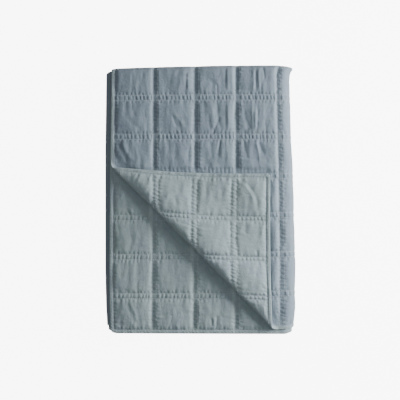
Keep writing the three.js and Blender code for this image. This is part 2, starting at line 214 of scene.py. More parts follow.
def turn_back(x, y, offset):
    """Where a point of the top layer lies, for its offset from the middle of the cloth."""
    middle = mid_roll(x, y)
    radius = mix(ROLL_RADIUS_ENDS, ROLL_RADIUS_MIDDLE, middle)
    wide = ROLL_WIDE * radius
    taken = ROLL_TAKES * middle
    way_round = roll_ways[-1] * radius + taken
    past = np.maximum(past_roll_edge(x, y) + wide, 0)
    angle = np.interp(past / way_round * roll_ways[-1], roll_ways, roll_angles)
    rise = radius * roll_rise(angle)
    beyond = np.maximum(past - way_round, 0)
    sine, cosine = np.sin(angle), np.cos(angle)
    outward = offset / np.hypot(rise * sine, wide * cosine)
    inward = outward * rise * sine - wide * sine + beyond * (1 + taken / FLAP_LENGTH)
    bowed = ROLL_BOW * middle * smoothstep(past_roll_edge(x, y), -ROLL_BOW_REACH, -wide)
    bowed = bowed * (1 - smoothstep(beyond, 0, ROLL_BOW_REACH))
    far_corner = (ROLL_EDGE_SUM - TOP_HEM_X - TOP_HEM_Y) / ROOT_2
    to_corner = beyond / far_corner
    dropped = FLAP_DROP * to_corner + FLAP_SAG * np.sin(np.minimum(to_corner, 1) * math.pi)
    lowered = smoothstep(beyond, 0, FLAP_SETTLES) * ((ROLL_LOW + ROLL_HIGH) * radius - FLAP_REST)
    new_x = x + (past + inward + bowed) / ROOT_2
    new_y = y + (past + inward + bowed) / ROOT_2 - dropped
    height = ROLL_LOW * radius - rise * cosine + outward * wide * cosine - lowered
    return new_x, new_y, height


# %% [markdown]
# ## The stack out of true
#
# Nobody folds a bedspread square. The tables give the place of the edge along each side, and the
# layers near an edge follow it. The right edge ends in a small point beside the round fold, which
# the solid model leaves out. The stack is a little taller to the right, where its round fold is,
# and it sags to its sides. The second layer lies askew under the first.

# %% Settle the stack
RIGHT_EDGE = [
    (-321, 225), (-264, 228), (-150, 228.5), (60, 223), (180, 217.5),
    (300, 214.5), (311, 218), (321, 226),
]
LEFT_EDGE = [(-321, -228.5), (-264, -231.5), (-180, -233.5), (120, -233.5), (190, -232.5), (321, -231)]
TOP_EDGE = [(-233, 310), (-208, 315.5), (-112, 318.5), (70, 322), (190, 322.5), (227, 318.5)]
BOTTOM_EDGE = [(-233, -318), (-205, -323.5), (205, -324.5), (227, -319.5)]
SIDE_REACH = 167
END_REACH = 125
MOST_SHARE = 1.1
TALLER_TO_RIGHT = 0.03
SIDES_SAG = 0.04
ENDS_SAG = 0.04
SECOND_LAYER_SKEW = 5


def edge_at(table, place):
    places, edges = np.array(table).T
    return np.interp(place, places, edges)


def pulled_by(gap, reach):
    """How strongly a place follows an edge: 1 at the edge and 0 out of its reach."""
    return np.clip(1 - gap / reach, 0, MOST_SHARE) ** 2


def settle(x, y, z):
    shift_x = pulled_by(RIGHT - x, SIDE_REACH) * (edge_at(RIGHT_EDGE, y) - RIGHT)
    shift_x = shift_x + pulled_by(x - LEFT, SIDE_REACH) * (edge_at(LEFT_EDGE, y) - LEFT)
    shift_y = pulled_by(TOP - y, END_REACH) * (edge_at(TOP_EDGE, x) - TOP)
    shift_y = shift_y + pulled_by(y - BOTTOM, END_REACH) * (edge_at(BOTTOM_EDGE, x) - BOTTOM)
    u, v = x / RIGHT, y / TOP
    tall = 1 + TALLER_TO_RIGHT * u - SIDES_SAG * u * u - ENDS_SAG * v * v
    return np.stack([x + shift_x, y + shift_y, np.maximum(z * tall, 0)], axis=1)


# %% Fold a point of the sheet
def round_corner(across, down):
    """The four corners of the sheet are a little round."""
    across_edge = np.where(across < WIDTH / 2, 0, WIDTH)
    down_edge = np.where(down < LENGTH / 2, 0, LENGTH)
    near_side = np.maximum(CORNER_ROUNDING - np.abs(across - across_edge), 0)
    near_end = np.maximum(CORNER_ROUNDING - np.abs(down - down_edge), 0)
    reach = np.maximum(np.hypot(near_side, near_end), 1e-6)
    in_corner = (near_side > 0) & (near_end > 0)
    pull = np.where(in_corner, 1 - np.maximum(near_side, near_end) / reach, 0)
    in_across = np.where(across_edge == 0, 1, -1)
    in_down = np.where(down_edge == 0, 1, -1)
    return across + in_across * pull * near_side, down + in_down * pull * near_end


def on_top_layer(across, down):
    return (across <= TOP_RUN_ACROSS) & (down <= TOP_RUN_DOWN)


def skew_share(across, down):
    """0 at the second layer's folds and 1 at its bottom left corner."""
    to_left = 1 - across / TOP_RUN_ACROSS
    to_bottom = (down - SECOND_LAYER_STARTS) / (LENGTH - SECOND_LAYER_STARTS)
    return np.maximum(to_left, 0) * np.maximum(to_bottom, 0)


def fold(across, down, offset):
    """Where points of the sheet lie in the stack. Offsets are from the middle of the cloth."""
    across, down = round_corner(across, down)
    x, ply_height, out_x, out_up = across_strip.at(across)
    y, layer_height, out_y, layer_up = down_strip.at(down)
    rise = layer_height + offset * layer_up
    skew = SECOND_LAYER_SKEW * skew_share(across, down)
    folded = settle(
        x - skew + rise * out_x,
        y + offset * out_y,
        HALF_STACK + ply_height + rise * out_up,
    )
    turned_x, turned_y, height = turn_back(x, y, offset)
    turned = settle(turned_x, turned_y, HALF_STACK + ply_height + layer_height + height)
    return np.where(on_top_layer(across, down)[:, None], turned, folded)


# %% [markdown]
# ## Where the cloth shows
#
# Relief and fine mesh are only worth their points where somebody sees them. The face shows on the
# top layer outside the turned corner, and round the two folds. The reverse shows on the turned
# corner and on the layer under it.

# %% Where a side shows
FLAP_RIGHT = 165
FLAP_TOP = 72
TOP_FLATTENS = (-40, -17)
FLAP_SWELLS = (8, 36)
SECOND_SWELLS = (4, 19.5)
FLAP_PRESSES = (-7, 2)
BEND_SEEN = 0.6
BEFORE_BEND = 4


def places_of(across, down):
    return across_strip.at(across)[0], down_strip.at(down)[0]


def face_showing(across, down):
    """1 where the face lies open, and 0 where it is covered or goes round a fold."""
    x, y = places_of(across, down)
    side = 1 - smoothstep(across, TOP_RUN_ACROSS, SIDE_WRAP_ENDS)
    last_seen = mix(TOP_RUN_DOWN, END_WRAP_ENDS, BEND_SEEN)
    end = 1 - smoothstep(down, TOP_RUN_DOWN - BEFORE_BEND, last_seen)
    past = past_roll_edge(x, y)
    before_roll = np.where(on_top_layer(across, down), 1 - smoothstep(past, *TOP_FLATTENS), 1)
    return side * end * before_roll


def reverse_showing(across, down):
    x, y = places_of(across, down)
    past = past_roll_edge(x, y)
    on_corner = on_top_layer(across, down) * smoothstep(past, *FLAP_SWELLS)
    second_layer = (across <= TOP_RUN_ACROSS) & (down >= SECOND_LAYER_STARTS)
    return on_corner + second_layer * smoothstep(past, *SECOND_SWELLS)


def under_flap(x, y):
    """1 well under the turned corner and 0 clear of it."""
    inside = np.minimum(FLAP_RIGHT - x, FLAP_TOP - y)
    return smoothstep(inside, *FLAP_PRESSES) * (past_roll_edge(x, y) < 0)


# %% [markdown]
# ## The quilting
#
# Between the rows of stitches the filling stands up in soft cushions. Each row holds the cloth
# down, and because the thread is pulled tight it gathers the cloth into puckers: short grooves at
# right angles to the row, one for every two stitches. Most fade out within a centimetre, and some
# run on as long creases. A noise texture wouldn't line up with the stitches, so every groove is
# worked out with its own depth, length and lean.

# %% Seams by their length on the strip
ROWS_HALF_DOWN = 6.2
ROWS_HALF_ACROSS = 4.9
HEM_ROW_HALF = 0.9


def every_cell(first, pitch, low, high):
    count = int((high - first) / pitch) + 1
    return [first + pitch * step for step in range(count) if low < first + pitch * step < high]


column_places = every_cell(TOP_HEM_X + HEM + CELL_WIDTH, CELL_WIDTH, LEFT, LAST_COLUMN_X - CELL_WIDTH)
column_places.append(LAST_COLUMN_X)
row_places = every_cell(FIRST_ROW_Y, CELL_LENGTH, BOTTOM, TOP)
second_row_places = every_cell(FIRST_SECOND_LAYER_ROW_Y, CELL_LENGTH, BOTTOM, TOP)

seams_across = [across_strip.length_at(0, x) for x in column_places]
seams_down = [down_strip.length_at(0, y) for y in row_places]
seams_down += [down_strip.length_at(3, y) for y in sorted(second_row_places, reverse=True)]


# %% The rows and their gathers
PUCKER_PITCH = 9.4
PUCKER_STRAY = 0.13
PUCKER_LEAN = 0.16
PUCKER_DEPTHS = (0.55, 1.25)
PUCKER_WIDENS = 35
LONG_SHARE = 0.16
LONG_TAILS = (22, 55)
SHORT_TAILS = (5, 13)
TAIL_POWER = 1.4
HELD_PAST_ROW = (0.2, 2.2)
BAND_PHASE = 0.27
BAND_LEAN = 0.12


class Seams:
    """Double rows of stitches, with one row along each hem."""

    def __init__(self, grid, row_half, length, across_length, seed):
        self.at = np.array([HEM, *grid, length - HEM])
        self.half = np.array([HEM_ROW_HALF, *[row_half] * len(grid), HEM_ROW_HALF])
        random = np.random.default_rng(seed)
        grooves = int(across_length / PUCKER_PITCH) + 3
        # One strip of grooves before the rows of a seam, one between them and one past them
        shape = (len(self.at), 3, grooves)
        self.stray = random.normal(0, PUCKER_STRAY, shape) * PUCKER_PITCH
        self.lean = random.normal(0, PUCKER_LEAN, shape)
        self.depth = random.uniform(*PUCKER_DEPTHS, shape)
        long = random.random(shape) < LONG_SHARE
        long_tails = random.uniform(*LONG_TAILS, shape)
        self.tail = np.where(long, long_tails, random.uniform(*SHORT_TAILS, shape))

    def nearest(self, length):
        """The nearest seam, the signed distance from its middle, and the gap past its rows."""
        from_each = length[:, None] - self.at
        gaps = np.abs(from_each) - self.half
        seam = gaps.argmin(axis=1)
        row = np.arange(len(length))
        return seam, from_each[row, seam], gaps[row, seam]

    def puckers(self, length, along, width):
        """How far the grooves go down beside and between the rows, for a depth of 1."""
        seam, offset, gap = self.nearest(length)
        strip = np.where(gap < 0, 1, np.where(offset < 0, 0, 2))
        away = np.maximum(gap, 0)
        phase = np.where(strip == 1, BAND_PHASE, 0)
        base = np.round(along / PUCKER_PITCH - phase).astype(int)
        half = self.half[seam]
        between = 1 - np.clip(np.abs(offset) / half, 0, 1) ** 4
        held = smoothstep(gap, *HELD_PAST_ROW)
        total = np.zeros(len(length))
        for step in (-2, -1, 0, 1, 2):
            groove = np.clip(base + step, 0, self.stray.shape[2] - 1)
            one = (seam, strip, groove)
            centre = (groove + phase) * PUCKER_PITCH + self.stray[one] + self.lean[one] * away
            centre = centre - np.where(strip == 1, BAND_LEAN * offset, 0)
            fading = held * np.exp(-((away / self.tail[one]) ** TAIL_POWER))
            reach = np.where(strip == 1, between, fading)
            spread = width * (1 + away / PUCKER_WIDENS)
            total += self.depth[one] * reach * np.exp(-(((along - centre) / spread) ** 2))
        return total * np.where((half == HEM_ROW_HALF) & (strip == 1), 0, 1)


down_seams = Seams(seams_down, ROWS_HALF_DOWN, LENGTH, WIDTH, seed=11)
across_seams = Seams(seams_across, ROWS_HALF_ACROSS, WIDTH, LENGTH, seed=12)
print("seams over the width:", len(across_seams.at), "and over the length:", len(down_seams.at))

# %% The cushions between the seams
PUFF = 5.8
SHOULDER = 11
SHOULDER_SHARE = 0.68
CROWN_REACH = 46
BAND_FLOOR = 0.32
LAST_COLUMN = len(column_places)
SIDE_SHARE = 0.4
CLIMB = (1.5, 13.5)
CLIMB_SHARE = 0.85
BAND_PUFF = 1.5
LEANING_BAND = 0.3
CLEAR_OF_ROWS = (-0.5, 4)
ROW_WIDTH = 1.5
ROW_DEPTH = 0.6
PUCKER_WIDTH = 2.1
DOWN_PUCKER = 1.75
ACROSS_PUCKER = 1.45


def dome(gap, reach):
    return 1 - (1 - np.clip(gap / reach, 0, 1)) ** 2


def cushion(gap):
    """How far the filling stands up at a gap from the rows: a steep shoulder and a low crown."""
    return mix(dome(gap, CROWN_REACH), dome(gap, SHOULDER), SHOULDER_SHARE)


def leaning_cushion(offset, half, gap):
    """The same beside a seam that is lowest at its first row and climbs through its second."""
    climbing = mix(dome(gap, CROWN_REACH), smoothstep(offset + half, *CLIMB), CLIMB_SHARE)
    return np.where((offset > -half) & (half > HEM_ROW_HALF), climbing, cushion(gap))


def band(offset, half):
    """The narrow strip between two rows stands up a little."""
    share = np.clip(np.abs(offset) / half, 0, 1)
    return np.where(half == HEM_ROW_HALF, 0, 1 - share ** 2)


def row_groove(gap):
    return ROW_DEPTH * np.exp(-((gap / ROW_WIDTH) ** 2))


def from_rim(across, down):
    return np.minimum(np.minimum(across, WIDTH - across), np.minimum(down, LENGTH - down))


# %% The hems
HEM_RISE = 0.3
HEM_ROUND = 0.55
HEM_RIPPLE = 0.6
HEM_RIPPLE_PITCH = 8.3
HEM_DRIFT = 1.3
HEM_DRIFT_REACH = 23


def hem_height(across, down):
    """A hem is a soft tube, rippled by its row of stitches."""
    rim = from_rim(across, down)
    round_share = np.sin(np.clip(rim / HEM, 0, 1) * math.pi)
    drift = HEM_DRIFT * np.sin((across + down) / HEM_DRIFT_REACH)
    beat = np.sin(2 * math.pi * (across - down) / HEM_RIPPLE_PITCH + drift)
    return HEM_RISE + (HEM_ROUND + HEM_RIPPLE * beat) * round_share


# %% The quilting as a height
def quilting(across, down, leans):
    """The height of the quilting, and how clear a place is of the rows, from 0 to 1."""
    seam_a, offset_a, gap_a = across_seams.nearest(across)
    seam_d, offset_d, gap_d = down_seams.nearest(down)
    half_a, half_d = across_seams.half[seam_a], down_seams.half[seam_d]
    rise_a = np.where(leans, leaning_cushion(offset_a, half_a, gap_a), cushion(gap_a))
    on_side = (seam_a == LAST_COLUMN) & (offset_a > -half_a)
    rise_a = np.where(on_side, SIDE_SHARE * rise_a, rise_a)
    rise_d = np.where(half_d == HEM_ROW_HALF, 0, BAND_FLOOR)
    rise_d = rise_d + (1 - rise_d) * cushion(gap_d)
    height = PUFF * rise_a * rise_d
    clear_a, clear_d = smoothstep(gap_a, *CLEAR_OF_ROWS), smoothstep(gap_d, *CLEAR_OF_ROWS)
    height += np.where(leans, LEANING_BAND, 1) * BAND_PUFF * band(offset_a, half_a) * clear_d
    height += BAND_PUFF * band(offset_d, half_d) * clear_a
    height -= row_groove(gap_a) + row_groove(gap_d)
    height -= DOWN_PUCKER * down_seams.puckers(down, across, PUCKER_WIDTH) * clear_a
    height -= ACROSS_PUCKER * across_seams.puckers(across, down, PUCKER_WIDTH) * clear_d
    in_hem = from_rim(across, down) < HEM - HEM_ROW_HALF
    return np.where(in_hem, hem_height(across, down), height), clear_a * clear_d


# %% [markdown]
# ## Creases
#
# The long creases that catch the eye are listed one row each: where a soft ridge or a
# trough starts and ends on the stack, how far it bows out to its side, its half width and its
# height. Troughs have a height below zero. A noise texture would put creases everywhere, and not
# where the seams pull. Low waves over the whole cloth keep the cushions from looking alike.

# %% Creases placed one by one
# Rows of: start x and y, end x and y, bow, half width, height
FACE_CREASES = [
    (-165, 305, -166, 258, 0, 3.2, -0.9),
    (-141, 308, -140, 295, 1, 2.2, -0.7),
    (-133, 285, -132, 256, 0, 5.0, -0.6),
    (-35, 307, -35, 262, 0, 2.4, -1.0),
    (-30, 305, -30, 262, 0, 2.6, 0.8),
    (-52, 300, -51, 262, 1, 4.0, 0.6),
    (-177, 197, -144, 168, -3, 4.5, -0.9),
    (-68, 204, -55, 172, -2, 2.6, -1.1),
    (-62, 208, -38, 174, -2, 3.4, 1.0),
    (-197, 137, -172, 86, -3, 5.5, -1.9),
    (-190, 140, -160, 92, -3, 4.0, 0.9),
    (-160, 135, -150, 85, 2, 3.5, 0.6),
    (-60, 140, -66, 92, 2, 5.0, -0.7),
    (-24, 135, -30, 88, -2, 3.2, -0.8),
    (18, 290, 34, 272, 2, 5.0, -0.9),
    (38, 277, 39, 256, 0, 2.2, -1.1),
    (59, 326, 59, 262, 0, 1.9, -0.8),
    (64, 326, 65, 262, 0, 2.4, 0.8),
    (128, 312, 128, 262, 1, 2.8, 1.1),
    (134, 308, 135, 262, 0, 2.8, -1.4),
    (143, 317, 145, 264, -2, 3.4, 1.0),
    (150, 317, 157, 288, 2, 2.2, -1.3),
    (149, 278, 148, 260, 0, 2.2, -0.9),
    (38, 227, 49, 166, -2, 5.0, -1.5),
    (27, 222, 29, 170, 1, 4.2, 0.9),
    (18, 205, 22, 166, 0, 3.2, -1.1),
    (59, 244, 60, 166, 0, 1.9, -0.8),
    (66, 244, 66, 166, 0, 2.8, 0.8),
    (104, 214, 118, 167, -2, 4.6, -1.3),
    (124, 236, 125, 168, 0, 2.6, 1.0),
    (132, 212, 133, 169, 0, 2.2, 0.9),
    (138, 226, 137, 167, 1, 2.8, -1.4),
    (157, 193, 158, 168, 0, 2.2, -0.8),
    (46, 143, 40, 98, 2, 5.5, -1.1),
    (22, 140, 26, 95, 2, 4.5, -1.2),
    (60, 143, 66, 90, 0, 3.4, 0.8),
    (104, 138, 116, 96, -2, 4.2, -0.9),
    (133, 139, 142, 84, 3, 2.4, 1.1),
    (141, 141, 154, 108, -2, 3.4, -1.2),
    (196, 21, 219, 14, 1, 2.4, -1.3),
    (199, 34, 222, 30, 0, 4.0, 0.8),
    (172, -38, 184, -58, 1, 2.6, -0.8),
    (176, -262, 184, -276, 1, 3.0, -0.9),
    (203, -248, 217, -253, 0, 2.4, -0.7),
]
# On the turned corner, in the places where they are seen
FLAP_CREASES = [
    (-145, 61, -155, 37, 0, 2.6, 1.0),
    (-152, 60, -166, 34, 0, 2.4, -0.6),
    (-126, 55, -133, 20, 2, 3.4, 1.1),
    (-122, 46, -124, 4, 0, 3.0, 0.9),
    (-84, 3, -66, 17, 2, 5.0, 0.8),
    (-64, 14, -58, -12, 0, 5.5, -1.0),
    (-45, 40, -30, -10, 0, 7.0, 0.7),
    (93, 49, 130, -10, 7, 4.2, 1.0),
    (101, 50, 134, -16, 8, 4.6, -1.1),
    (148, 6, 154, -22, 2, 5.0, 0.9),
    (112, -50, 105, -76, -1, 4.2, -1.1),
    (150, -50, 145, -80, 0, 3.0, 1.0),
    (133, -114, 130, -146, 1, 2.4, -1.2),
    (126, -112, 123, -142, 1, 2.8, 0.7),
    (140, -112, 140, -140, 1, 2.8, 0.8),
    (130, -154, 130, -182, 0, 2.4, -0.8),
    (142, -196, 160, -216, 1, 2.6, 0.9),
    (140, -204, 156, -226, 1, 2.4, -0.9),
    (144, -256, 148, -282, 0, 2.4, 1.0),
    (150, -256, 154, -286, 0, 2.2, -0.9),
]
# On the second layer, beside the turned corner
SECOND_CREASES = [
    (-197, -4, -178, 22, 0, 3.4, 0.8),
    (-176, -22, -166, -42, 0, 3.0, -0.8),
    (-166, -24, -156, -44, 0, 2.6, 0.7),
    (-164, -88, -166, -122, 1, 3.6, -0.7),
    (-153, -72, -155, -120, 0, 4.0, 0.6),
    (-146, -192, -154, -218, 0, 3.0, -0.9),
    (-174, -250, -156, -300, 2, 4.6, -1.0),
    (-166, -248, -149, -296, 2, 3.4, 0.8),
    (-60, -260, -72, -300, 0, 4.0, 0.6),
    (-88, -270, -90, -300, 0, 3.0, -0.6),
    (28, -286, 30, -305, 0, 2.6, -1.4),
    (38, -280, 41, -305, 0, 2.8, -1.2),
    (34, -284, 35, -303, 0, 2.4, 1.1),
    (48, -276, 50, -303, 0, 3.0, 0.9),
    (12, -252, 30, -280, 3, 6.0, 0.9),
]
print("creases placed by hand:", len(FACE_CREASES) + len(FLAP_CREASES) + len(SECOND_CREASES))

# %% Creases in a row
# A hidden seam gathers the cloth in short teeth just above the turned corner's top hem
TEETH_FROM = -97
TEETH_TO = 120
TEETH_PITCH = 9.5

hem_teeth = [(x, 77, x + 1, 62, 0, 1.6, -1.3) for x in np.arange(TEETH_FROM, TEETH_TO, TEETH_PITCH)]
FACE_CREASES += hem_teeth
print("short teeth:", len(hem_teeth))

# %% Creases as a height
CREASE = 1.15
CREASE_WIDER = 1.2
CREASE_STARTS = (-0.12, 0.2)
CREASE_ENDS = (0.8, 1.12)
USUAL_MID_ROLL = 0.7


def on_turned_corner(x, y):
    """The flat place of a point that is seen on the turned corner."""
    radius = mix(ROLL_RADIUS_ENDS, ROLL_RADIUS_MIDDLE, USUAL_MID_ROLL)
    lost = ROOT_2 * radius * (roll_ways[-1] / 2 - ROLL_WIDE) + ROLL_TAKES / 2
    return ROLL_EDGE_SUM - lost - y, ROLL_EDGE_SUM - lost - x


def creases(table, x, y):
    height = np.zeros(len(x))
    for x0, y0, x1, y1, bow, half_width, rise in table:
        run = math.hypot(x1 - x0, y1 - y0)
        along_x, along_y = (x1 - x0) / run, (y1 - y0) / run
        share = ((x - x0) * along_x + (y - y0) * along_y) / run
        aside = (y - y0) * along_x - (x - x0) * along_y - 4 * bow * share * (1 - share)
        fade = smoothstep(share, *CREASE_STARTS) * (1 - smoothstep(share, *CREASE_ENDS))
        height += rise * fade * np.exp(-((aside / half_width / CREASE_WIDER) ** 2))
    return CREASE * height


# The turned corner is seen mirrored, so its creases swap x and y and bow to their other side
corner_creases = [
    (*on_turned_corner(x0, y0), *on_turned_corner(x1, y1), -bow, half_width, rise)
    for x0, y0, x1, y1, bow, half_width, rise in FLAP_CREASES
]


# %% Low waves
LONGEST_WAVE = 2.6


def waves(x, y, shortest, seed, count=9):
    """Soft unevenness, mostly between -1 and 1, from a few long waves in all directions."""
    random = np.random.default_rng(seed)
    total = np.zeros(len(x))
    for _ in range(count):
        turn = random.uniform(0, 2 * math.pi)
        long = shortest * random.uniform(1, LONGEST_WAVE)
        phase = random.uniform(0, 2 * math.pi)
        total += np.sin(2 * math.pi * (x * math.cos(turn) + y * math.sin(turn)) / long + phase)
    return total / math.sqrt(count)


# %% The relief of each side
WAVE = 0.7
FACE_WAVE = 45
REVERSE_WAVE = 50
STREAK = 0.4
STREAK_WIDTH = 11
STREAK_STRETCH = 5
NEAR_ROWS = 0.35
UNDER_FLAP = 0.4
LEAST_HALF = 0.5
RIM_LEFT = 0.1


def streaks(across, down, seed):
    """Narrow waves, drawn out down the sheet."""
    return STREAK * waves(across, down / STREAK_STRETCH, STREAK_WIDTH, seed)


def face_relief(across, down):
    x, y = places_of(across, down)
    height, clear = quilting(across, down, np.full(len(across), True))
    more = creases(FACE_CREASES, x, y) * on_top_layer(across, down)
    more += WAVE * waves(across, down, FACE_WAVE, seed=21) + streaks(across, down, seed=22)
    covered = under_flap(x, y) * on_top_layer(across, down)
    height = (height + more * mix(NEAR_ROWS, 1, clear)) * mix(1, UNDER_FLAP, covered)
    return height * face_showing(across, down)


def reverse_relief(across, down):
    x, y = places_of(across, down)
    on_corner = on_top_layer(across, down)
    height, clear = quilting(across, down, ~on_corner)
    more = np.where(on_corner, creases(corner_creases, x, y), creases(SECOND_CREASES, x, y))
    more += WAVE * waves(across, down, REVERSE_WAVE, seed=23)
    across_streaks = STREAK * waves(across / STREAK_STRETCH, down, STREAK_WIDTH, seed=24)
    more += np.where(on_corner, across_streaks, streaks(across, down, seed=25))
    height = height + more * mix(NEAR_ROWS, 1, clear)
    return height * reverse_showing(across, down)


def half_thickness(across, down, is_face):
    """From the middle of the cloth to its surface. The hem's edge is round."""
    relief = np.where(is_face, face_relief(across, down), reverse_relief(across, down))
    rim = np.clip(from_rim(across, down) / (CLOTH / 2), 0, 1)
    rounded = mix(RIM_LEFT, 1, np.sqrt(1 - (1 - rim) ** 2))
    return np.maximum(CLOTH / 2 + relief, LEAST_HALF) * rounded


# %% [markdown]
# ## The mesh of the sheet
#
# The sheet starts as a cube, stretched to the flat bedspread. Planes cut it into a coarse grid,
# with closer lines round the bends and along the hems. Where the cloth shows, the edges are
# subdivided to less than 4 mm, and then halved beside the seams and creases and along the tip of
# the roll. A uniform grid that fine would need millions of faces, most of them inside the stack.

# %% Coarse lines
HIDDEN_STEP = 50
SIDE_BENDS = (14, 8, 4)
END_BENDS = (8, 6, 4)
RIM_LINES = (0.25, 0.75, 1.6, 4.3)
HEM_LINES = (HEM - HEM_ROW_HALF, HEM, HEM + HEM_ROW_HALF, HEM + 4)
OFF_THE_RIM = 0.1
LEAST_GAP = 0.2


def coarse_lines(strip, bends):
    """Lengths at which the slab is cut from side to side."""
    lines = []
    for piece in range(7):
        start, end = strip.start[piece], strip.end[piece]
        bent = strip.radius[piece] > 0
        steps = bends[piece // 2] if bent else math.ceil((end - start) / HIDDEN_STEP)
        lines += [mix(start, end, step / steps) for step in range(steps + 1)]
    rim = [*RIM_LINES, *HEM_LINES]
    lines += rim + [strip.length - gap for gap in rim]
    lines = sorted(line for line in lines if OFF_THE_RIM < line < strip.length - OFF_THE_RIM)
    return [line for line, before in zip(lines, [0, *lines]) if line - before > LEAST_GAP]


across_lines = coarse_lines(across_strip, SIDE_BENDS)
down_lines = coarse_lines(down_strip, END_BENDS)
print("lines over the width:", len(across_lines), "and over the length:", len(down_lines))


# %% Cut the slab
# The slab's height only tells its two sides apart, as the fold works out how thick the cloth is
SLAB_HEIGHT = 2


def cut_slab():
    bm = bmesh.new()
    bmesh.ops.create_cube(bm, size=1)
    bmesh.ops.scale(bm, vec=(WIDTH, LENGTH, SLAB_HEIGHT), verts=bm.verts)
    bmesh.ops.translate(bm, vec=(WIDTH / 2, LENGTH / 2, 0), verts=bm.verts)
    for axis, lines in ((0, across_lines), (1, down_lines)):
        for line in lines:
            bmesh.ops.bisect_plane(
                bm,
                geom=bm.verts[:] + bm.edges[:] + bm.faces[:],
                plane_co=Vector.Fill(3, line),
                plane_no=Matrix.Identity(3)[axis],
                dist=1e-3,
            )
    return bm


bm = cut_slab()
print("coarse faces:", len(bm.faces))

# %% Mark the faces that show
SEEN_PAST = -6
FACE_GOES_UNDER = 14
FLAP_COVERS = 8
INSET = 0.02


def shows(across, down, is_face):
    x, y = places_of(across, down)
    past = past_roll_edge(x, y)
    top = on_top_layer(across, down)
    open_face = (across < SIDE_WRAP_ENDS) & (down < END_WRAP_ENDS)
    covered = top & (past < 0) & (x < FLAP_RIGHT - FLAP_COVERS) & (y < FLAP_TOP - FLAP_COVERS)
    rolled_under = top & (past > FACE_GOES_UNDER)
    second_layer = (across < TOP_RUN_ACROSS) & (down > SECOND_LAYER_STARTS)
    open_reverse = (top | second_layer) & (past > SEEN_PAST)
    return np.where(is_face, open_face & ~covered & ~rolled_under, open_reverse)


fine = bm.faces.layers.int.new("fine")
flat_faces = [face for face in bm.faces if abs(face.normal.z) > 0.5]
corners = np.array([[v.co[:] for v in face.verts] for face in flat_faces])
inset = mix(corners, corners.mean(axis=1, keepdims=True), INSET)
seen = shows(*inset[:, :, :2].reshape(-1, 2).T, inset[:, :, 2].ravel() > 0)
for face, corner_seen in zip(flat_faces, seen.reshape(-1, 4)):
    face[fine] = int(corner_seen.any())
print("coarse faces that show:", sum(face[fine] for face in bm.faces))

# %% Subdivide where the cloth shows
FINE_ACROSS = 3.55
FINE_DOWN = 3.8


def subdivide_along(bm, axis, step):
    """Cuts the edges of the marked faces that run along an axis, to about one step each."""
    marked = [face for face in bm.faces if face[fine]]
    groups = {}
    for edge in dict.fromkeys(edge for face in marked for edge in face.edges):
        run = abs(edge.verts[1].co[axis] - edge.verts[0].co[axis])
        cuts = math.ceil(run / step) - 1
        if cuts > 0:
            groups.setdefault(cuts, []).append(edge)
    for cuts in sorted(groups):
        bmesh.ops.subdivide_edges(bm, edges=groups[cuts], cuts=cuts)


subdivide_along(bm, 0, FINE_ACROSS)
subdivide_along(bm, 1, FINE_DOWN)
print("fine faces:", len(bm.faces))

# %% Halve the mesh beside the seams and creases
SEAM_REACH = 6
CREASE_HEIGHT = 0.45
WELL_COVERED = 12
FAR_BEFORE_ROLL = -300
ROLL_TIP = (4, 26)
LEAST_AREA = 2


def needs_more(across, down, is_face):
    """Where the relief turns within a few millimetres."""
    x, y = places_of(across, down)
    gap = np.minimum(across_seams.nearest(across)[2], down_seams.nearest(down)[2])
    top = on_top_layer(across, down)
    face_crease = np.abs(creases(FACE_CREASES, x, y)) * top
    flap_crease = np.abs(creases(corner_creases, x, y)) * top * (past_roll_edge(x, y) > 0)
    second_crease = np.abs(creases(SECOND_CREASES, x, y)) * ~top
    crease = np.where(is_face, face_crease, flap_crease + second_crease)
    past = past_roll_edge(x, y)
    inside = np.minimum(FLAP_RIGHT - x, FLAP_TOP - y)
    open_face = (across < mix(TOP_RUN_ACROSS, SIDE_WRAP_ENDS, BEND_SEEN)) & (past < 0)
    open_face &= (inside < WELL_COVERED) | (past < FAR_BEFORE_ROLL) | ~top
    seen = np.where(is_face, open_face, past > 0)
    tip = top & ~is_face & (past > ROLL_TIP[0]) & (past < ROLL_TIP[1])
    return tip | (seen & ((gap < SEAM_REACH) | (crease > CREASE_HEIGHT)))


marked = [face for face in bm.faces if face[fine]]
centres = np.array([face.calc_center_median()[:] for face in marked])
dense = needs_more(*centres[:, :2].T, centres[:, 2] > 0)
dense_faces = [face for face, more in zip(marked, dense) if more and face.calc_area() > LEAST_AREA]
dense_edges = list(dict.fromkeys(edge for face in dense_faces for edge in face.edges))
bmesh.ops.subdivide_edges(bm, edges=dense_edges, cuts=1, use_grid_fill=True)
many_sided = [face for face in bm.faces if len(face.verts) > 4]
bmesh.ops.triangulate(bm, faces=many_sided)
print("faces halved:", len(dense_faces), "and faces in all:", len(bm.faces))

# %% Cloths by side, and the flat map
FACE_CLOTH, REVERSE_CLOTH = 0, 1
REVERSE_MAP_SHIFT = 2

cloth_map = bm.loops.layers.uv.new("cloth")
for face in bm.faces:
    centre = face.calc_center_median()
    is_reverse = centre.z < 0.5
    in_hem = from_rim(centre.x, centre.y) < HEM - HEM_ROW_HALF
    face.material_index = REVERSE_CLOTH if is_reverse or in_hem else FACE_CLOTH
    face.smooth = True
    shift = REVERSE_MAP_SHIFT if is_reverse else 0
    for loop in face.loops:
        loop[cloth_map].uv = (loop.vert.co.x * MM + shift, loop.vert.co.y * MM)

# %% Helpers for meshes and objects
def new_mesh(bm, name):
    mesh = bpy.data.meshes.new(name)
    bm.to_mesh(mesh)
    bm.free()
    return mesh


def new_object(name, data):
    made = bpy.data.objects.new(name, data)
    bpy.context.scene.collection.objects.link(made)
    return made


def points_of(mesh):
    """The three coordinates of a mesh's points, each as one array."""
    flat = np.zeros(len(mesh.vertices) * 3)
    mesh.vertices.foreach_get("co", flat)
    return flat.reshape(-1, 3).T


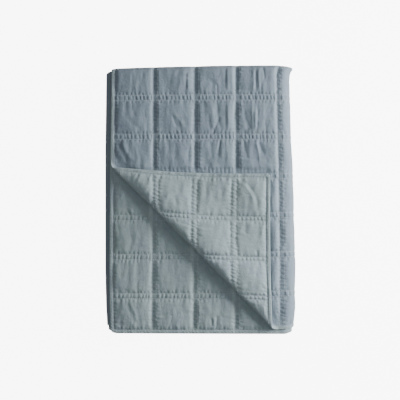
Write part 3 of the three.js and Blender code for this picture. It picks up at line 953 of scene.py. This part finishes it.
def fold_points(mesh, across, down, is_face, above=0):
    """Moves the points into the stack, to a height above the surface of the cloth."""
    offset = (half_thickness(across, down, is_face) + above) * np.where(is_face, 1, -1)
    folded = fold(across, down, offset)
    mesh.vertices.foreach_set("co", (folded * MM).ravel())
    mesh.update()
    return folded


# %% Fold the sheet
bedspread_mesh = new_mesh(bm, "quilted_bedspread")
across, down, side = points_of(bedspread_mesh)
is_face = side > 0
folded = fold_points(bedspread_mesh, across, down, is_face)
bedspread = new_object("quilted_bedspread", bedspread_mesh)
bedspread_mesh.calc_loop_triangles()
print("triangles of the sheet:", len(bedspread_mesh.loop_triangles))
print("its box in mm:", folded.min(axis=0).round(1), folded.max(axis=0).round(1))

# %% [markdown]
# ## Painted highlight along the ridges
#
# Before each double row the cushion ends in a steep ridge. The cloth is painted a little paler
# there, as a painted highlight that stands in for the light on the ridge. How strong it is goes
# into an attribute of the sheet's points, which the cloths' materials read. A mask made from the
# curvature of the surface would need no attribute, but it would whiten the creases and the hems too.

# %% Painted highlight along the ridges
HIGHLIGHT_FROM_ROW = 4.2
HIGHLIGHT_WIDTH = 4.6
HIGHLIGHT_ON_CORNER = 0.8


def ridge_highlight(seams, length):
    """How strongly the ridge before each double row is painted with a highlight, from 0 to 1."""
    seam, offset, gap = seams.nearest(length)
    half = seams.half[seam]
    ridge = np.exp(-(((offset + half + HIGHLIGHT_FROM_ROW) / HIGHLIGHT_WIDTH) ** 2))
    return np.where((half > HEM_ROW_HALF) & (gap > CLEAR_OF_ROWS[0]), ridge, 0)


# How strongly each point is painted paler along its ridge, as a painted highlight
highlight_beside_columns = ridge_highlight(across_seams, across)
highlight_beside_turned_rows = HIGHLIGHT_ON_CORNER * ridge_highlight(down_seams, down)
painted_highlight = np.where(~is_face & on_top_layer(across, down), highlight_beside_turned_rows, highlight_beside_columns)
highlight_layer = bedspread_mesh.attributes.new("painted_highlight", "FLOAT", "POINT")
highlight_layer.data.foreach_set("value", painted_highlight)
print("mean wear:", round(float(painted_highlight.mean()), 3))

# %% [markdown]
# ## The stitches
#
# A running stitch is a short bar of thread that dives into the cloth at both ends. Each one is a
# small low ball, drawn out along its row. In the grid they lean left and right in turn, because
# the gathers beside them pull them askew. They are laid on the flat sheet and folded by the same
# function, so they follow every bend. Geometry Nodes could scatter them too, but then the fold
# would have to be built from nodes as well.

# %% Lay out the stitches
STITCH_WIDTH = 1.3
STITCH_HEIGHT = 0.8
STITCH_SHARE = 0.74
STITCH_LEAN = 0.5
STITCH_PITCH = PUCKER_PITCH / 2
HEM_STITCH_PITCH = 4.2
PITCH_STRAY = 0.05
ROW_STRAY = 0.18


def rows_of(seams):
    """The place of each row of stitches, and the pitch of its stitches."""
    rows = []
    for at, half in zip(seams.at, seams.half):
        if half == HEM_ROW_HALF:
            rows.append((at, HEM_STITCH_PITCH))
        else:
            rows += [(at - half, STITCH_PITCH), (at + half, STITCH_PITCH)]
    return rows


def stitch_places():
    """Rows of: across, down, lean, is_face, runs_across, length."""
    random = np.random.default_rng(31)
    places = []
    for runs_across, seams, total in ((True, down_seams, WIDTH), (False, across_seams, LENGTH)):
        for row, pitch in rows_of(seams):
            middles = np.arange(HEM + pitch / 2, total - HEM, pitch)
            middles = middles + random.normal(0, PITCH_STRAY, len(middles)) * pitch
            rows = row + random.normal(0, ROW_STRAY, len(middles))
            across, down = (middles, rows) if runs_across else (rows, middles)
            leans = np.where(np.arange(len(middles)) % 2 == 0, STITCH_LEAN, -STITCH_LEAN)
            leans = leans * (pitch != HEM_STITCH_PITCH)
            length = pitch * STITCH_SHARE
            for is_face in (True, False):
                visible = shows(across, down, is_face)
                for place in zip(across[visible], down[visible], leans[visible]):
                    places.append((*place, is_face, runs_across, length))
    return places


places = stitch_places()
print("stitches:", len(places))

# %% Make the stitches
# They are made this far off the flat sheet, above it or below it, so that their side can be told
OFF_THE_SHEET = 10


def stitch_mesh(places):
    bm = bmesh.new()
    for across, down, lean, is_face, runs_across, length in places:
        height = OFF_THE_SHEET if is_face else -OFF_THE_SHEET
        turn = lean if runs_across else lean + math.pi / 2
        size = (length / 2, STITCH_WIDTH / 2, STITCH_HEIGHT, 1)
        place = Matrix.Translation((across, down, height)) @ Matrix.Rotation(turn, 4, "Z")
        place = place @ Matrix.Diagonal(size)
        bmesh.ops.create_icosphere(bm, subdivisions=1, radius=1, matrix=place)
    for face in bm.faces:
        face.smooth = True
    return new_mesh(bm, "stitches")


stitches_mesh = stitch_mesh(places)
across, down, side = points_of(stitches_mesh)
fold_points(stitches_mesh, across, down, side > 0, above=np.abs(side) - OFF_THE_SHEET)
stitches = new_object("stitches", stitches_mesh)
print("faces of the stitches:", len(stitches_mesh.polygons))

# %% [markdown]
# ## The cloth's finish
#
# Both cloths are fine, washed cotton in plain weave. Three node groups are shared: one weaves the
# threads, as a height for the bump and a tint, one crumples the cloth as washing does, and one
# gives the cloudy colour of washed cloth. Along the ridges, each material mixes in a paler colour
# as a painted highlight. An image of cloth would be quicker, but it would repeat, and it would
# blur close up.

# %% Helpers for nodes
def new_group(name, inputs, outputs):
    """A shader node group with named sockets, and its two ends."""
    group = bpy.data.node_groups.new(name, "ShaderNodeTree")
    for socket, kind, value in inputs:
        made = group.interface.new_socket(socket, in_out="INPUT", socket_type=kind)
        if value is not None:
            made.default_value = value
    for socket, kind in outputs:
        group.interface.new_socket(socket, in_out="OUTPUT", socket_type=kind)
    return group, group.nodes.new("NodeGroupInput"), group.nodes.new("NodeGroupOutput")


def add_node(tree, kind, links=(), **settings):
    """A node with its properties set, and its inputs linked or given values."""
    node = tree.nodes.new(kind)
    for name, value in settings.items():
        setattr(node, name, value)
    for socket, value in links:
        if isinstance(value, bpy.types.NodeSocket):
            tree.links.new(value, node.inputs[socket])
        else:
            node.inputs[socket].default_value = value
    return node


def calculate(tree, operation, *values):
    return add_node(tree, "ShaderNodeMath", enumerate(values), operation=operation).outputs[0]


def add_noise(tree, vector, scale, detail, roughness=0.5):
    links = [("Vector", vector), ("Scale", scale), ("Detail", detail), ("Roughness", roughness)]
    return add_node(tree, "ShaderNodeTexNoise", links)


def moved_about(tree, vector, scale, reach):
    """The vector, shifted by up to a reach by a noise, so that what reads it wanders."""
    shift = add_noise(tree, vector, scale, 2).outputs["Color"]
    links = [(0, shift), (1, (reach, reach, 0)), (2, vector)]
    return add_node(tree, "ShaderNodeVectorMath", links, operation="MULTIPLY_ADD").outputs[0]


def mix_colours(tree, factor, first, second):
    links = [("Factor", factor), (6, first), (7, second)]
    return add_node(tree, "ShaderNodeMix", links, data_type="RGBA").outputs[2]


def add_bump(tree, height, strength, distance, under=None):
    links = [("Height", height), ("Strength", strength), ("Distance", distance)]
    if under:
        links.append(("Normal", under))
    return add_node(tree, "ShaderNodeBump", links).outputs[0]


def map_range(tree, value, source, target=(0, 1)):
    links = [("Value", value), ("From Min", source[0]), ("From Max", source[1])]
    links += [("To Min", target[0]), ("To Max", target[1])]
    return add_node(tree, "ShaderNodeMapRange", links).outputs[0]


# %% Node group: plain weave
def plain_weave_group():
    group, start, end = new_group(
        "plain weave",
        [
            ("Vector", "NodeSocketVector", None),
            ("Threads per metre", "NodeSocketFloat", 2600),
            ("Unevenness", "NodeSocketFloat", 0.35),
        ],
        [("Height", "NodeSocketFloat"), ("Tint", "NodeSocketFloat")],
    )
    vector = start.outputs["Vector"]
    shifted = moved_about(group, vector, 180, 0.0004)
    parts = add_node(group, "ShaderNodeSeparateXYZ", [(0, shifted)])
    turn = calculate(group, "MULTIPLY", start.outputs["Threads per metre"], math.pi)
    warp = calculate(group, "SINE", calculate(group, "MULTIPLY", parts.outputs["X"], turn))
    weft = calculate(group, "SINE", calculate(group, "MULTIPLY", parts.outputs["Y"], turn))
    over = calculate(group, "MULTIPLY_ADD", calculate(group, "MULTIPLY", warp, weft), 2, 0.5)
    weft_height = calculate(group, "ABSOLUTE", weft)
    warp_height = calculate(group, "ABSOLUTE", warp)
    links = [("Factor", over), (2, weft_height), (3, warp_height)]
    warp_over = add_node(group, "ShaderNodeMix", links)
    slubs = add_noise(group, vector, 900, 3, 0.6)
    uneven = calculate(group, "MULTIPLY", slubs.outputs[0], start.outputs["Unevenness"])
    height = calculate(group, "ADD", warp_over.outputs[0], uneven)
    group.links.new(height, end.inputs["Height"])
    group.links.new(slubs.outputs[0], end.inputs["Tint"])
    return group


# %% Node group: crumpled cloth
def crumpled_group():
    """Small soft folds that washing leaves, as a height."""
    group, start, end = new_group(
        "crumpled cloth",
        [("Vector", "NodeSocketVector", None), ("Folds per metre", "NodeSocketFloat", 90)],
        [("Height", "NodeSocketFloat")],
    )
    folds = start.outputs["Folds per metre"]
    bent = moved_about(group, start.outputs["Vector"], 35, 0.02)
    links = [(0, bent), (1, (1, 0.35, 1))]
    stretched = add_node(group, "ShaderNodeVectorMath", links, operation="MULTIPLY")
    long_folds = add_noise(group, stretched.outputs[0], folds, 2, 0.55)
    short_folds = add_noise(group, bent, calculate(group, "MULTIPLY", folds, 1.6), 3)
    height = calculate(group, "MULTIPLY_ADD", short_folds.outputs[0], 0.6, long_folds.outputs[0])
    group.links.new(height, end.inputs["Height"])
    return group


# %% Node group: washed colour
def washed_colour_group():
    group, start, end = new_group(
        "washed colour",
        [
            ("Vector", "NodeSocketVector", None),
            ("Tint", "NodeSocketFloat", 0.5),
            ("Colour", "NodeSocketColor", None),
            ("Cool", "NodeSocketColor", None),
            ("Pale", "NodeSocketColor", None),
        ],
        [("Colour", "NodeSocketColor"), ("Roughness", "NodeSocketFloat")],
    )
    vector = start.outputs["Vector"]
    clouds = add_noise(group, vector, 16, 3).outputs[0]
    cool = map_range(group, clouds, (0.4, 0.66))
    cloudy = mix_colours(group, cool, start.outputs["Colour"], start.outputs["Cool"])
    stains = add_noise(group, vector, 70, 4, 0.6).outputs[0]
    share = calculate(group, "MULTIPLY", stains, start.outputs["Tint"])
    pale = map_range(group, share, (0.12, 0.45))
    washed = mix_colours(group, pale, cloudy, start.outputs["Pale"])
    rough = map_range(group, stains, (0.3, 0.7), (0.72, 0.88))
    group.links.new(washed, end.inputs["Colour"])
    group.links.new(rough, end.inputs["Roughness"])
    return group


plain_weave = plain_weave_group()
crumpled_cloth = crumpled_group()
washed_colour = washed_colour_group()
print("node groups:", sorted(group.name for group in bpy.data.node_groups))


# %% The two cloths
def cloth_material(name, colour, cool, pale, highlight_colour, threads):
    material = bpy.data.materials.new(name)
    material.use_nodes = True
    tree = material.node_tree
    shader = tree.nodes["Principled BSDF"]
    place = add_node(tree, "ShaderNodeUVMap", uv_map="cloth").outputs[0]

    links = [("Vector", place), ("Threads per metre", threads)]
    weave = add_node(tree, "ShaderNodeGroup", links, node_tree=plain_weave)
    links = [("Vector", place), ("Tint", weave.outputs["Tint"])]
    links += [("Colour", (*colour, 1)), ("Cool", (*cool, 1)), ("Pale", (*pale, 1))]
    washed = add_node(tree, "ShaderNodeGroup", links, node_tree=washed_colour)
    crumpled = add_node(tree, "ShaderNodeGroup", [("Vector", place)], node_tree=crumpled_cloth)

    folds = add_bump(tree, crumpled.outputs["Height"], 1, 0.0012)
    threads_on_folds = add_bump(tree, weave.outputs["Height"], 0.5, 0.00012, folds)
    # A paler colour is painted on the ridges as a painted highlight
    painted_highlight = add_node(tree, "ShaderNodeAttribute", attribute_name="painted_highlight").outputs["Fac"]
    tone = mix_colours(tree, painted_highlight, washed.outputs["Colour"], (*highlight_colour, 1))
    tree.links.new(tone, shader.inputs["Base Color"])
    tree.links.new(washed.outputs["Roughness"], shader.inputs["Roughness"])
    tree.links.new(threads_on_folds, shader.inputs["Normal"])
    shader.inputs["Specular IOR Level"].default_value = 0.3
    shader.inputs["Sheen Weight"].default_value = 0.25
    shader.inputs["Sheen Roughness"].default_value = 0.5
    return material


# Each cloth's paler ridge colour is a painted highlight
face_cloth = cloth_material(
    "blue_grey_face_cloth",
    colour=(0.223, 0.292, 0.351),
    cool=(0.218, 0.272, 0.355),
    pale=(0.28, 0.349, 0.402),
    highlight_colour=(0.325, 0.415, 0.482),
    threads=2600,
)
reverse_cloth = cloth_material(
    "grey_green_backing",
    colour=(0.3, 0.39, 0.415),
    cool=(0.29, 0.367, 0.428),
    pale=(0.364, 0.457, 0.473),
    highlight_colour=(0.43, 0.535, 0.555),
    threads=2400,
)
bedspread_mesh.materials.append(face_cloth)
bedspread_mesh.materials.append(reverse_cloth)


# %% The thread
def thread_material():
    material = bpy.data.materials.new("quilting_thread")
    material.use_nodes = True
    tree = material.node_tree
    shader = tree.nodes["Principled BSDF"]
    place = add_node(tree, "ShaderNodeTexCoord").outputs["Object"]
    ply = add_noise(tree, place, 1500, 2).outputs[0]
    tone = mix_colours(tree, ply, (0.44, 0.52, 0.56, 1), (0.58, 0.66, 0.69, 1))
    tree.links.new(tone, shader.inputs["Base Color"])
    tree.links.new(add_bump(tree, ply, 0.4, 0.0002), shader.inputs["Normal"])
    shader.inputs["Roughness"].default_value = 0.6
    shader.inputs["Sheen Weight"].default_value = 0.2
    return material


stitches_mesh.materials.append(thread_material())

# %% [markdown]
# ## Floor, light and camera
#
# The bedspread lies on a plain white table and is seen from straight above. A large soft lamp
# stands to its right, a little towards the folded end, so the creases that run along the stack
# stand out. The table glows a little for the camera alone, as a lit table top does.

# %% Floor
FLOOR_REACH = 6
FLOOR_HEIGHT = -0.0005
FLOOR_GLOW = 8.0

bm = bmesh.new()
bmesh.ops.create_grid(bm, x_segments=1, y_segments=1, size=FLOOR_REACH)
bmesh.ops.translate(bm, vec=(0, 0, FLOOR_HEIGHT), verts=bm.verts)
floor = new_object("floor", new_mesh(bm, "floor"))
white = bpy.data.materials.new("white_table")
white.use_nodes = True
tree = white.node_tree
white_shader = tree.nodes["Principled BSDF"]
white_shader.inputs["Base Color"].default_value = (0.5, 0.5, 0.5, 1)
white_shader.inputs["Roughness"].default_value = 0.9
white_shader.inputs["Emission Color"].default_value = (1, 1, 1, 1)
ray = add_node(tree, "ShaderNodeLightPath")
glow = calculate(tree, "MULTIPLY", ray.outputs["Is Camera Ray"], FLOOR_GLOW)
tree.links.new(glow, white_shader.inputs["Emission Strength"])
floor.data.materials.append(white)


# %% Lights
def soft_lamp(name, place, size, watts, colour):
    """A lamp that faces the origin."""
    lamp = bpy.data.lights.new(name, "AREA")
    lamp.shape = "RECTANGLE"
    lamp.size, lamp.size_y = size
    lamp.energy = watts
    lamp.color = colour
    lamp_object = new_object(name, lamp)
    lamp_object.location = place
    to_origin = Vector((0, 0, 0)) - Vector(place)
    lamp_object.rotation_euler = to_origin.to_track_quat("-Z", "Y").to_euler()
    print(name, "at", place, "with", watts, "W")


soft_lamp("key_lamp", place=(1.85, 0.35, 0.68), size=(0.9, 0.8), watts=76, colour=(1, 1, 1))
soft_lamp("fill_lamp", place=(0, 0, 2.6), size=(2.4, 2.4), watts=10, colour=(0.97, 0.99, 1))

world = bpy.data.worlds.new("studio")
bpy.context.scene.world = world
world.use_nodes = True
background = world.node_tree.nodes["Background"]
background.inputs["Color"].default_value = (1, 1, 1, 1)
background.inputs["Strength"].default_value = 0.18

# %% Camera
CAMERA_HEIGHT = 2.2
VIEW_WIDTH = 0.96
TOP_SURFACE = 0.055
VIEW_CENTRE = (-0.0018, -0.0012)

camera_data = bpy.data.cameras.new("camera")
camera_data.lens = camera_data.sensor_width * CAMERA_HEIGHT / VIEW_WIDTH
camera = new_object("camera", camera_data)
camera.location = (*VIEW_CENTRE, CAMERA_HEIGHT + TOP_SURFACE)
bpy.context.scene.camera = camera
print(f"lens {camera_data.lens:.1f} mm")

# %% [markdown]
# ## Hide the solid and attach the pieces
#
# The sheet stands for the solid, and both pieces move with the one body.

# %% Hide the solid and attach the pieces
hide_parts("bedspread")
for piece in (bedspread, stitches):
    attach(piece, "root")
